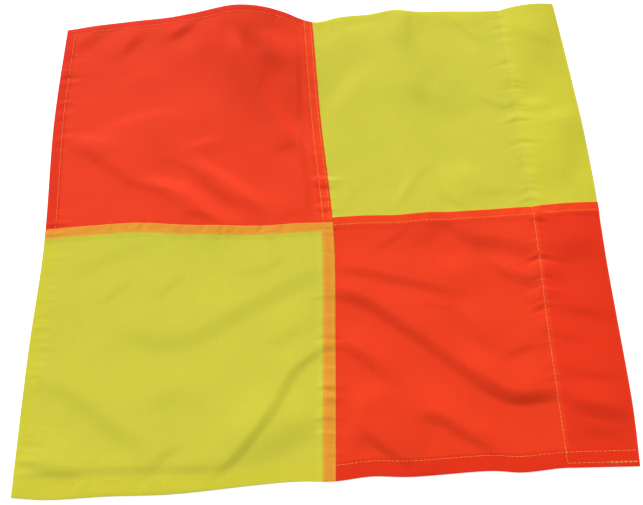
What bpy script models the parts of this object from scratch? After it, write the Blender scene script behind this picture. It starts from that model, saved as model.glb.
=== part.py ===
"""Quartered marker flag with a pole sleeve, laid flat.

Four cloth panels, two orange and two yellow, are joined by sewn seams into one square flag.
The left edge is the fly, the right edge is the hoist, and the cloth folds back there into a
flat sleeve for a pole. The sleeve's mouth is at the top, and its bottom end is sewn shut.
Frame: metres, +Z up, +X towards the hoist, +Y towards the sleeve's mouth, with the origin on
the surface that the flag lies on, under the middle of the flag.
"""

import math
from collections import namedtuple

import bmesh
import bpy
from mathutils import Vector
from mathutils.bvhtree import BVHTree

MM = 0.001

# Driving dimensions
WIDTH = 400 * MM  # fly edge to hoist fold
HEIGHT = 400 * MM
CLOTH = 0.35 * MM  # thickness of one layer
GAP = 0.3 * MM  # clearance between two layers or a layer and a thread
THREAD = 0.3 * MM  # diameter
HEM = 9.5 * MM  # depth of the hem folded under at the fly and along the top
BOTTOM_HEM = 13 * MM  # depth of the hem along the bottom
HEM_ROW = 2.5 * MM  # hem stitching, from the hem's raw end
SEAM = 8 * MM  # overlap of two panels
EDGE_ROW = 1.6 * MM  # seam stitching next to the folded edge
INNER_ROW = 1.4 * MM  # seam stitching next to the seam's other side
SLEEVE = 46 * MM  # width of the sleeve, laid flat
SLEEVE_TURN = 10 * MM  # cloth of the back layer past the sleeve's stitching
SLEEVE_LOFT = 7 * MM  # how far the front layer stands up along the middle of the sleeve
SLEEVE_FOLD = 1.2 * MM  # radius of the fold at the hoist, at the middle of the cloth
SLEEVE_SHUT = 45 * MM  # length over which the sleeve flattens towards its sewn end
SLEEVE_ENTRY = 6 * MM  # how far the two layers take to part, next to the sleeve's stitching
END_ROW = 3 * MM  # stitching that shuts the sleeve, from the bottom edge
SLOPE = 6 * MM  # how far the cloth takes to climb onto a seam or a hem
NOTCH = 0.5 * MM  # free space round a trimmed corner of cloth

# Derived sizes
LAYER = CLOTH + GAP
ROOM = THREAD + GAP  # space under the cloth for a thread
LEFT, RIGHT = -WIDTH / 2, WIDTH / 2
BOTTOM, TOP = -HEIGHT / 2, HEIGHT / 2
SEAM_X = 0.0  # the seams' folded edges, where the colours meet
SEAM_Y = 0.0
# Stitching, from a seam's folded edge. The upright seams have both rows, the level seam the
# inner one.
SEAM_ROWS = {"edge": EDGE_ROW, "inner": SEAM - INNER_ROW}
HEM_INSET = HEM - HEM_ROW  # hem stitching, from the fly edge and from the top edge
BOTTOM_INSET = BOTTOM_HEM - HEM_ROW  # the same from the bottom edge
SLEEVE_ROW = RIGHT - SLEEVE
FOLD_X = RIGHT - SLEEVE_FOLD - CLOTH / 2  # centre of the fold at the hoist
ARC_STEPS = 4
SLEEVE_STEPS = 12
SHUT_STEPS = 5
STITCH_SAMPLE = 0.5 * MM  # spacing of the points at which a thread is laid on the cloth
THREAD_END = 1.5 * MM  # how far a thread stops short of an edge
FLAT_WITHIN = 0.02 * MM  # points of a thread closer than this to a straight run are dropped

ORANGE = (0.86, 0.045, 0.012, 1)
YELLOW = (0.68, 0.62, 0.045, 1)
THREAD_YELLOW = (0.80, 0.72, 0.16, 1)

# A line of the cloth's grid. `at` is its place across the flag, `level` its height over the
# sheet, `out` the direction of the sheet's face as (sideways, up), and `zone` names the strip
# of cloth between this line and the next.
Line = namedtuple("Line", "at level out zone")
UP, DOWN = (0.0, 1.0), (0.0, -1.0)

# Strips of cloth that are trimmed away, as (strip across, strip up), so that no more than
# three layers lie on each other where two hems or seams cross.
NOT_FIELD = ("hem_return", "hem_band", "under", "lap", "lap_edge", "lap_return")
TRIMMED = {(zone, row) for zone in ("hem_return", "lap_return", "turn") for row in NOT_FIELD}
TRIMMED |= {("under", row) for row in ("under", "lap", "lap_edge", "lap_return")}
TRIMMED |= {("lap_edge", row) for row in ("hem_return", "lap_edge", "lap_return")}
TRIMMED |= {("row", "hem_return"), ("back_row", "hem_return")}
BACK = ("fold_lower", "back", "back_row")
TRIMMED |= {(zone, row) for zone in BACK for row in ("under", "lap_edge", "lap_return")}


def clear_scene():
    for obj in list(bpy.data.objects):
        bpy.data.objects.remove(obj, do_unlink=True)


def make_collection(name):
    collection = bpy.data.collections.new(name)
    bpy.context.scene.collection.children.link(collection)
    return collection


def make_material(name, colour, roughness):
    material = bpy.data.materials.new(name)
    material.use_nodes = True
    shader = material.node_tree.nodes["Principled BSDF"]
    shader.inputs["Base Color"].default_value = colour
    shader.inputs["Roughness"].default_value = roughness
    shader.inputs["Metallic"].default_value = 0.0
    return material


def share(value, low, high):
    """How far value is from low to high, held between 0 and 1."""
    return min(1.0, max(0.0, (value - low) / (high - low)))


def raised(value, low, high):
    """1 between low and high, falling to 0 over one SLOPE on each side."""
    return min(share(value, low - SLOPE, low), 1 - share(value, high, high + SLOPE))


def lift_across(x):
    """How high the sheet lies at x because of what is under it: a hem, a seam or the sleeve's turn."""
    hem = (LAYER + ROOM) * raised(x, LEFT, LEFT + HEM + NOTCH)
    seam = ROOM * raised(x, SEAM_X - SEAM - NOTCH, SEAM_X + NOTCH)
    turn = (LAYER + ROOM) * raised(x, SLEEVE_ROW - SLEEVE_TURN - NOTCH, SLEEVE_ROW)
    return hem + seam + turn


def lift_up(y):
    """The same from what lies under the sheet at y."""
    hems = raised(y, BOTTOM, BOTTOM + BOTTOM_HEM + NOTCH) + raised(y, TOP - HEM - NOTCH, TOP)
    return (LAYER + ROOM) * hems + ROOM * raised(y, SEAM_Y - SEAM - NOTCH, SEAM_Y + NOTCH)


def fold(centre, side, low, high, zone):
    """Half a turn of cloth about centre, bulging towards side, from level low to level high."""
    radius = abs(high - low) / 2
    middle = (low + high) / 2
    turn = 1 if high > low else -1
    for step in range(ARC_STEPS + 1):
        angle = math.pi * (step / ARC_STEPS - 0.5) * turn
        place = centre + side * radius * math.cos(angle)
        yield Line(place, middle + radius * math.sin(angle), UP, zone)


def hem_lines(edge, inward, depth):
    """A hem folded under at an edge, from its raw end to the field."""
    lines = [Line(edge + inward * depth, -LAYER, UP, "hem_return")]
    lines += fold(edge + inward * (LAYER + CLOTH) / 2, -inward, -LAYER, 0, "hem_return")
    lines[-1] = lines[-1]._replace(zone="hem_band")
    lines.append(Line(edge + inward * (depth + NOTCH), 0, UP, "field"))
    lines.append(Line(edge + inward * (depth + NOTCH + SLOPE), 0, UP, "field"))
    return lines


def lap_lines(edge):
    """The panel that lies on top at a seam: it climbs two layers, and its end is folded under."""
    start = edge - SEAM - NOTCH
    centre = edge - (LAYER + CLOTH) / 2
    lines = [Line(start - SLOPE, 0, UP, "field"), Line(start, 2 * LAYER, UP, "lap")]
    lines += fold(centre, 1, 2 * LAYER, LAYER, "lap_edge")
    lines[-1] = lines[-1]._replace(zone="lap_return")
    lines.append(Line(edge - SEAM + 2 * CLOTH, LAYER, UP, "end"))
    return lines


def sleeve_opening(y):
    """How far the sleeve stands open at y: 1 along its length, 0 at the end that is sewn shut."""
    part = share(y, BOTTOM + BOTTOM_INSET, BOTTOM + BOTTOM_INSET + SLEEVE_SHUT)
    return part * part * (3 - 2 * part)


def sleeve_lines():
    """The sleeve: its front layer, the fold at the hoist, its back layer, and the turn past the stitching."""
    entry = SLEEVE_ROW + SLEEVE_ENTRY
    lines = [Line(SLEEVE_ROW, 0, UP, "row"), Line(entry, 0, UP, "front")]
    for step in range(1, SLEEVE_STEPS):
        lines.append(Line(entry + (FOLD_X - entry) * step / SLEEVE_STEPS, 0, UP, "front"))
    for step in range(ARC_STEPS + 1):
        angle = math.pi * (0.5 - step / ARC_STEPS)
        zone = "fold_upper" if step < ARC_STEPS / 2 else "fold_lower"
        out = (math.cos(angle), math.sin(angle))
        lines.append(Line(FOLD_X + SLEEVE_FOLD * out[0], 0, out, zone))
    lines[-1] = lines[-1]._replace(zone="back")
    lines += [Line(entry, 0, DOWN, "back_row"), Line(SLEEVE_ROW, 0, DOWN, "turn")]
    lines.append(Line(SLEEVE_ROW - SLEEVE_TURN, 0, DOWN, "end"))
    return lines


def sleeve_height(line, y):
    """Height over the ground of the middle of the sleeve's cloth."""
    parted = share(line.at, SLEEVE_ROW, SLEEVE_ROW + SLEEVE_ENTRY)
    if line.zone.startswith("fold") or line.zone == "back":
        return SLEEVE_FOLD * (1 + line.out[1])
    if line.out == DOWN:
        return (1 - parted) * ROOM
    hump = math.sin(math.pi * share(line.at, SLEEVE_ROW, FOLD_X)) ** 0.8
    closed = (1 - parted) * (LAYER + ROOM) + parted * 2 * SLEEVE_FOLD
    return closed + SLEEVE_LOFT * hump * sleeve_opening(y)


def place(across, up, in_sleeve):
    """The point of the cloth where the line `across` meets the line `up`."""
    lift = lift_up(up.at)
    if not in_sleeve:
        return Vector((across.at, up.at, CLOTH / 2 + lift_across(across.at) + lift + across.level + up.level))
    outward = up.level
    if outward > 0:  # the seam's layers lie on the front only, and the fold gives way to them
        outward *= share(across.out[1], -1, 0)
    pull = 2 * LAYER * raised(up.at, SEAM_Y - SEAM - NOTCH, SEAM_Y + NOTCH)
    pull *= share(across.at, FOLD_X - SLOPE, FOLD_X)
    x = across.at + across.out[0] * outward - pull
    z = CLOTH / 2 + lift + sleeve_height(across, up.at) + across.out[1] * outward
    return Vector((x, up.at, z))


def is_sleeve(line):
    """Whether a line across the flag belongs to the sleeve and not to the field."""
    return line.out != UP or line.at > SLEEVE_ROW


def make_panel(name, across, up, material, collection):
    """A sheet of cloth on the grid of two lists of lines, given its thickness by Solidify."""
    mesh = bpy.data.meshes.new(name)
    grid = bmesh.new()
    bmesh.ops.create_grid(grid, x_segments=len(across) - 1, y_segments=len(up) - 1, size=1)
    cell = {}
    for vert in grid.verts:
        column = round((vert.co.x + 1) / 2 * (len(across) - 1))
        row = round((vert.co.y + 1) / 2 * (len(up) - 1))
        cell[vert] = (column, row)
    gone = []
    for face in grid.faces:
        column = min(cell[vert][0] for vert in face.verts)
        row = min(cell[vert][1] for vert in face.verts)
        if (across[column].zone, up[row].zone) in TRIMMED:
            gone.append(face)
    for vert, (column, row) in cell.items():
        vert.co = place(across[column], up[row], is_sleeve(across[column]))
    bmesh.ops.delete(grid, geom=gone, context="FACES")
    bmesh.ops.recalc_face_normals(grid, faces=grid.faces)
    grid.to_mesh(mesh)
    grid.free()
    panel = bpy.data.objects.new(name, mesh)
    panel.data.materials.append(material)
    collection.objects.link(panel)
    thicken = panel.modifiers.new("thickness", "SOLIDIFY")
    thicken.thickness = CLOTH
    thicken.offset = 0
    thicken.use_even_offset = True
    thicken.use_quality_normals = True
    return panel


def make_panels(collection, orange, yellow):
    """The four quarters. The fly panels lie over the hoist panels, and the lower half over the upper one."""
    fly = hem_lines(LEFT, 1, HEM) + lap_lines(SEAM_X)
    hoist = [Line(SEAM_X - SEAM, 0, UP, "under"), Line(SEAM_X + NOTCH, 0, UP, "field")]
    hoist.append(Line(SEAM_X + NOTCH + SLOPE, 0, UP, "field"))
    turn = SLEEVE_ROW - SLEEVE_TURN - NOTCH
    hoist += [Line(turn - SLOPE, 0, UP, "field"), Line(turn, 0, UP, "row")]
    hoist += sleeve_lines()
    upper = hem_lines(TOP, -1, HEM) + [Line(SEAM_Y + NOTCH + SLOPE, 0, UP, "field")]
    upper += [Line(SEAM_Y + NOTCH, 0, UP, "under"), Line(SEAM_Y - SEAM, 0, UP, "end")]
    shut = [BOTTOM + BOTTOM_INSET + SLEEVE_SHUT * step / SHUT_STEPS for step in range(1, SHUT_STEPS + 1)]
    lower = hem_lines(BOTTOM, 1, BOTTOM_HEM)
    lower += [Line(y, 0, UP, "field") for y in shut if y > lower[-1].at + NOTCH]
    lower += lap_lines(SEAM_Y)
    return [
        make_panel("upper_fly_panel", fly, upper, orange, collection),
        make_panel("upper_hoist_panel", hoist, upper, yellow, collection),
        make_panel("lower_fly_panel", fly, lower, yellow, collection),
        make_panel("lower_hoist_panel", hoist, lower, orange, collection),
    ]


def surface_of(objects):
    """One search tree for the evaluated surfaces of these objects."""
    graph = bpy.context.evaluated_depsgraph_get()
    points, faces = [], []
    for obj in objects:
        evaluated = obj.evaluated_get(graph)
        mesh = evaluated.to_mesh()
        first = len(points)
        points += [evaluated.matrix_world @ vert.co for vert in mesh.vertices]
        faces += [[first + index for index in face.vertices] for face in mesh.polygons]
        evaluated.to_mesh_clear()
    return BVHTree.FromPolygons(points, faces)


def rest_height(tree, x, y, side):
    """Where a thread lies at (x, y): on top of everything for side 1, under everything for side -1."""
    reach = THREAD / 2 + GAP
    offsets = [reach * step / 2 for step in range(-2, 3)]
    away = Vector((0, 0, side * WIDTH))
    found = []
    for dx in offsets:
        for dy in offsets:
            hit = tree.ray_cast(Vector((x + dx, y + dy, 0)) + away, -away)[0]
            if hit is not None:
                found.append(side * hit.z)
    return side * (max(found) + GAP + THREAD / 2)


def sampled(corners):
    """Points along the straight runs between the corners, one STITCH_SAMPLE apart."""
    points = [corners[0]]
    for start, end in zip(corners, corners[1:]):
        steps = math.ceil(math.dist(start, end) / STITCH_SAMPLE)
        for step in range(1, steps + 1):
            part = step / steps
            points.append(tuple(a + (b - a) * part for a, b in zip(start, end)))
    return points


def thinned(points):
    """The points without those that lie on a straight run between their neighbours."""
    if len(points) < 3:
        return points
    start, end = points[0], points[-1]
    along = (end - start).normalized()
    off = [((point - start) - along * (point - start).dot(along)).length for point in points]
    far = max(range(len(points)), key=off.__getitem__)
    if off[far] <= FLAT_WITHIN:
        return [start, end]
    return thinned(points[: far + 1])[:-1] + thinned(points[far:])


def lay_thread(name, corners, side, ground, material, collection):
    """A thread laid along the corners on the face (side 1) or the back (side -1) of the ground."""
    tree = surface_of(ground)
    route = [Vector((x, y, rest_height(tree, x, y, side))) for x, y in sampled(corners)]
    route = thinned(route)
    curve = bpy.data.curves.new(name, "CURVE")
    curve.dimensions = "3D"
    curve.bevel_depth = THREAD / 2
    curve.bevel_resolution = 1
    curve.use_fill_caps = True
    spline = curve.splines.new("POLY")
    spline.points.add(len(route) - 1)
    for point, where in zip(spline.points, route):
        point.co = (*where, 1)
    curve.materials.append(material)
    thread = bpy.data.objects.new(name, curve)
    collection.objects.link(thread)
    bpy.context.view_layer.update()
    ground.append(thread)


def sew(name, face_corners, back_corners, ground, material, collection):
    """A row of lockstitch: the needle thread on the face and the bobbin thread on the back."""
    lay_thread(f"{name}_needle_thread", face_corners, 1, ground, material, collection)
    lay_thread(f"{name}_bobbin_thread", back_corners, -1, ground, material, collection)


def make_threads(panels, collection, material):
    """The rows in the order they are sewn, each crossing over those before it."""
    ground = list(panels)
    start, end = LEFT + THREAD_END, RIGHT - THREAD_END
    before_sleeve = SLEEVE_ROW - THREAD_END
    above, below = SEAM_Y + THREAD_END, SEAM_Y - SEAM - THREAD_END
    for label, inset in SEAM_ROWS.items():
        x = SEAM_X - inset
        row = [(x, TOP - THREAD_END), (x, above)]
        sew(f"upper_seam_{label}", row, row, ground, material, collection)
        row = [(x, BOTTOM + THREAD_END), (x, below)]
        sew(f"lower_seam_{label}", row, row, ground, material, collection)
    y = SEAM_Y - SEAM_ROWS["inner"]
    back = [(start, y), (before_sleeve - SLEEVE_TURN, y)]
    sew("cross_seam", [(start, y), (end, y)], back, ground, material, collection)
    x, low, high = LEFT + HEM_INSET, BOTTOM + BOTTOM_INSET, TOP - HEM_INSET
    face = [(end, high), (x, high), (x, low), (end, low)]
    back = [(before_sleeve, high), (x, high), (x, low), (before_sleeve, low)]
    sew("hem", face, back, ground, material, collection)
    low = BOTTOM + END_ROW
    row = [(SLEEVE_ROW, TOP - THREAD_END), (SLEEVE_ROW, low), (end, low)]
    sew("sleeve", row, row, ground, material, collection)


def main():
    clear_scene()
    collection = make_collection("quartered_marker_flag")
    orange = make_material("orange_cloth", ORANGE, 0.55)
    yellow = make_material("yellow_cloth", YELLOW, 0.55)
    thread = make_material("thread", THREAD_YELLOW, 0.45)
    panels = make_panels(collection, orange, yellow)
    bpy.context.view_layer.update()
    make_threads(panels, collection, thread)


main()
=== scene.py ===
"""Quartered marker flag with a pole sleeve, laid out on a pale floor.

Four quarters of thin nylon are joined by lapped seams, hemmed, and folded back at the hoist
into a sleeve. The cloth is cut on a flat pattern taken from the frame, and then laid: it
drifts a few millimetres out of square, buckles into soft folds, and draws up beside each row
of stitches. Every stitch is a piece of thread lying on that surface.
"""

from __future__ import annotations

import logging
import math
from dataclasses import dataclass
from enum import Enum

import bmesh
import bpy
import numpy as np
from mathutils import Matrix, Vector

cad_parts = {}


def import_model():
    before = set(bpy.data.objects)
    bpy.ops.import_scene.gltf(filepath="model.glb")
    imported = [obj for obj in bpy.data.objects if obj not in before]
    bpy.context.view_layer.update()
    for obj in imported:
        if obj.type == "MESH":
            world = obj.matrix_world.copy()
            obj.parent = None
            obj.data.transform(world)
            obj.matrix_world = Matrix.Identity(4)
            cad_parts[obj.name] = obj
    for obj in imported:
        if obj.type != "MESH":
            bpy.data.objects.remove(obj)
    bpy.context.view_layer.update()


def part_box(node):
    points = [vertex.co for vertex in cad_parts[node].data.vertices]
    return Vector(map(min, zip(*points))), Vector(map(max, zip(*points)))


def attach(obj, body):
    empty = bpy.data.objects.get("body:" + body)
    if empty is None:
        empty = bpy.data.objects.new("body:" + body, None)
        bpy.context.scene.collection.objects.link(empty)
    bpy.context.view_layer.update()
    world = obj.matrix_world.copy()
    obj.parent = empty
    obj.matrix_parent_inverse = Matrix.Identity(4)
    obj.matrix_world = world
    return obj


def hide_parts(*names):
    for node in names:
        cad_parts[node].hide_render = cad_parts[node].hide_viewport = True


MM = 0.001
LOG = logging.getLogger("marker_flag")
Socket = bpy.types.NodeSocket


class Side(Enum):
    """Which side of the cloth a thread lies on."""

    FACE = 1
    BACK = -1


# ---------------------------------------------------------------- the flat pattern


@dataclass(frozen=True)
class Pattern:
    """The flag's flat pattern, in metres, read from the frame's own pieces.

    Each row lies at its distance from the seam or the edge that it belongs to.
    """

    left: float
    right: float
    bottom: float
    top: float
    seam_x: float
    seam_y: float
    seam: float
    edge_row: float
    inner_row: float
    cross_row: float
    hem_row: float
    bottom_row: float
    sleeve_row: float
    end_row: float
    turn: float = 10 * MM  # cloth of the sleeve's back layer past its stitching
    past_row: float = 2.5 * MM  # cloth of a hem past its stitching
    thread: float = 0.16 * MM  # diameter
    cloth: float = 0.09 * MM  # thickness
    layer: float = 0.14 * MM  # from the middle of one layer to the middle of the next

    @classmethod
    def from_frame(cls) -> "Pattern":
        """Read the pattern from the boxes of the frame's nodes.

        Returns:
            The pattern of the flag that the frame holds.
        """
        fly_low, fly_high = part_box("lower_fly_panel")
        hoist_low, hoist_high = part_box("upper_hoist_panel")
        edge_low, edge_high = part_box("upper_seam_edge_needle_thread")
        inner_low, inner_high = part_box("upper_seam_inner_needle_thread")
        cross_low, cross_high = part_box("cross_seam_needle_thread")
        hem_low, hem_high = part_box("hem_needle_thread")
        sleeve_low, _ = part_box("sleeve_needle_thread")
        radius = (edge_high.x - edge_low.x) / 2
        seam_x, seam_y = round(fly_high.x, 4), round(fly_high.y, 4)
        return cls(
            left=round(fly_low.x, 4),
            right=round(hoist_high.x, 4),
            bottom=round(fly_low.y, 4),
            top=round(hoist_high.y, 4),
            seam_x=seam_x,
            seam_y=seam_y,
            seam=seam_x - hoist_low.x,
            edge_row=seam_x - (edge_low.x + edge_high.x) / 2,
            inner_row=seam_x - (inner_low.x + inner_high.x) / 2,
            cross_row=seam_y - (cross_low.y + cross_high.y) / 2,
            hem_row=hem_low.x + radius - fly_low.x,
            bottom_row=hem_low.y + radius - fly_low.y,
            sleeve_row=sleeve_low.x + radius,
            end_row=sleeve_low.y + radius - fly_low.y,
        )

    @property
    def hem(self) -> float:
        """Depth of the hem at the fly and along the top."""
        return self.hem_row + self.past_row

    @property
    def bottom_hem(self) -> float:
        """Depth of the hem along the bottom."""
        return self.bottom_row + self.past_row

    @property
    def hem_x(self) -> float:
        """Where the fly's hem is stitched."""
        return self.left + self.hem_row

    @property
    def fold_radius(self) -> float:
        """Radius of the sleeve's fold at the hoist, at the middle of the cloth."""
        return 1.5 * self.layer


# ---------------------------------------------------------------- how the cloth lies


def eased(share: np.ndarray) -> np.ndarray:
    """Ease a share between 0 and 1 in and out."""
    held = np.clip(share, 0.0, 1.0)
    return held * held * (3 - 2 * held)


def smooth_curve(values: np.ndarray, share: np.ndarray) -> np.ndarray:
    """A smooth curve through evenly spaced values, read at a share of its length."""
    place = np.clip(share, 0, 1) * (len(values) - 1)
    index = np.minimum(np.floor(place).astype(int), len(values) - 2)
    t = place - index
    padded = np.concatenate([[2 * values[0] - values[1]], values, [2 * values[-1] - values[-2]]])
    a, b, c, d = (padded[index + step] for step in range(4))
    return b + 0.5 * t * (c - a + t * (2 * a - 5 * b + 4 * c - d + t * (3 * (b - c) + d - a)))


class Noise:
    """Smooth seeded noise in one or two dimensions, between about -1 and 1."""

    CELLS = 256

    def __init__(self, seed: int, pitch: float) -> None:
        """Draw the values.

        Args:
            seed: Seed of the values.
            pitch: Distance between two values, in metres.
        """
        self.pitch = pitch
        self.values = np.random.default_rng(seed).uniform(-1, 1, (self.CELLS, self.CELLS))

    def line(self, place: np.ndarray) -> np.ndarray:
        """Noise along a line, at these places in metres."""
        return self.sheet(place, np.zeros_like(place))

    def sheet(self, across: np.ndarray, up: np.ndarray) -> np.ndarray:
        """Noise over a plane, at these places in metres."""
        x, y = across / self.pitch + 90.0, up / self.pitch + 90.0
        column, row = np.floor(x).astype(int), np.floor(y).astype(int)
        right, above = eased(x - column), eased(y - row)
        column, row = column % (self.CELLS - 1), row % (self.CELLS - 1)
        low = self.values[row, column] * (1 - right) + self.values[row, column + 1] * right
        high = self.values[row + 1, column] * (1 - right) + self.values[row + 1, column + 1] * right
        return low * (1 - above) + high * above


@dataclass(frozen=True)
class Drift:
    """How far a line of the pattern wanders out of square, at the places where it turns."""

    turns: tuple[tuple[float, float], ...]  # share of the line's length, and millimetres

    def at(self, share: np.ndarray) -> np.ndarray:
        """The wander in metres at a share of the line's length, on a smooth curve."""
        places, wander = np.array(self.turns).T
        along = np.linspace(0, 1, 20 * len(places))
        return np.interp(share, smooth_curve(places, along), smooth_curve(wander * MM, along))


@dataclass(frozen=True)
class Wave:
    """A broad wave that stands highest at the flag's edge and sinks to nothing at its foot."""

    foot: tuple[float, float]  # millimetres across and up the pattern
    crest: tuple[float, float]  # the same
    height: float  # millimetres
    width: float  # millimetres
    bow: float = 0.0  # millimetres that its back bends aside

    def lift(self, u: np.ndarray, v: np.ndarray) -> np.ndarray:
        """How far this wave lifts the cloth, in metres, at places on the pattern."""
        foot, crest = np.array(self.foot) * MM, np.array(self.crest) * MM
        length = float(np.hypot(*(crest - foot)))
        along = (crest - foot) / length
        t = ((u - foot[0]) * along[0] + (v - foot[1]) * along[1]) / length
        held = np.clip(t, 0, 1)
        off = (v - foot[1]) * along[0] - (u - foot[0]) * along[1] - self.bow * MM * 4 * held * (1 - held)
        return self.height * MM * np.exp(-((off / (self.width * MM)) ** 2)) * eased(t) ** 0.8


@dataclass(frozen=True)
class Fold:
    """A soft step in the cloth, from a low ridge on the left of its path to a low hollow on the right."""

    path: tuple[tuple[float, float], ...]  # millimetres across and up the pattern
    slope: float  # rise over run at the middle of the step
    width: float  # millimetres, of the steep part
    back: float = 20.0  # millimetres, over which the ridge and the hollow fade away

    TAPER = 30 * MM  # the longest that a fold takes to sink to nothing at either end

    def lift(self, u: np.ndarray, v: np.ndarray) -> np.ndarray:
        """How far this fold lifts the cloth, in metres, at places on the pattern."""
        points = np.array(self.path) * MM
        share = np.linspace(0, 1, 10 * (len(points) - 1) + 1)
        line = np.stack([smooth_curve(points[:, axis], share) for axis in (0, 1)], axis=1)
        reach = (self.width + 2 * self.back) * MM
        low, high = line.min(axis=0) - reach, line.max(axis=0) + reach
        near = np.flatnonzero((u > low[0]) & (u < high[0]) & (v > low[1]) & (v < high[1]))
        lifted = np.zeros(len(u))
        step = np.hypot(*np.diff(line, axis=0).T)
        reached = np.concatenate([[0], np.cumsum(step)])
        forward = np.gradient(line, axis=0)
        forward /= np.hypot(*forward.T)[:, None]
        gap_u, gap_v = u[near, None] - line[:, 0], v[near, None] - line[:, 1]
        nearest = np.argmin(gap_u**2 + gap_v**2, axis=1)
        rows = np.arange(len(near))
        gap_u, gap_v = gap_u[rows, nearest], gap_v[rows, nearest]
        ahead, aside = forward[nearest].T
        along = reached[nearest] + gap_u * ahead + gap_v * aside
        off = gap_v * ahead - gap_u * aside
        run = self.width * MM * math.sqrt(2)
        ends = min(0.45 * reached[-1], self.TAPER)
        taper = eased(along / ends) * eased((reached[-1] - along) / ends)
        beyond = np.maximum(np.abs(off) - run / 2, 0) / (self.back * MM)
        lifted[near] = self.slope * run / 1.5 * (eased(off / run + 0.5) - 0.5) * np.exp(-(beyond**2)) * taper
        return lifted


@dataclass(frozen=True)
class Puckers:
    """Short wrinkles across a row of stitches, where its thread draws the cloth up."""

    height: float  # millimetres, at their highest
    reach: float  # millimetres, on the far side from the edge
    near: float  # millimetres, on the side towards the edge
    pitch: float  # millimetres
    slant: float
    seed: int

    PATCH = 38 * MM  # how far apart the stretches are where the thread draws hard
    PINNED = 1.8 * MM  # how far the thread holds the cloth down beside it

    def lift(self, along: np.ndarray, off: np.ndarray) -> np.ndarray:
        """How far the puckers lift the cloth, at a place along the row and a distance off it."""
        away = np.abs(off)
        place = along + self.slant * away
        wave = Noise(self.seed, self.pitch * MM).line(place)
        wave += 0.5 * Noise(self.seed + 1, self.pitch * 0.43 * MM).line(place)
        patch = 0.55 + 0.45 * Noise(self.seed + 2, self.PATCH).line(along)
        spread = 0.75 + 0.5 * Noise(self.seed + 3, self.pitch * 1.7 * MM).line(along + np.sign(off) * 0.3)
        reach = np.where(off > 0, self.reach, self.near) * MM * spread
        pinned = 1 - 0.6 * np.exp(-((away / self.PINNED) ** 2))
        return self.height * MM * wave * patch * pinned * np.exp(-((away / reach) ** 1.3))


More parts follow.
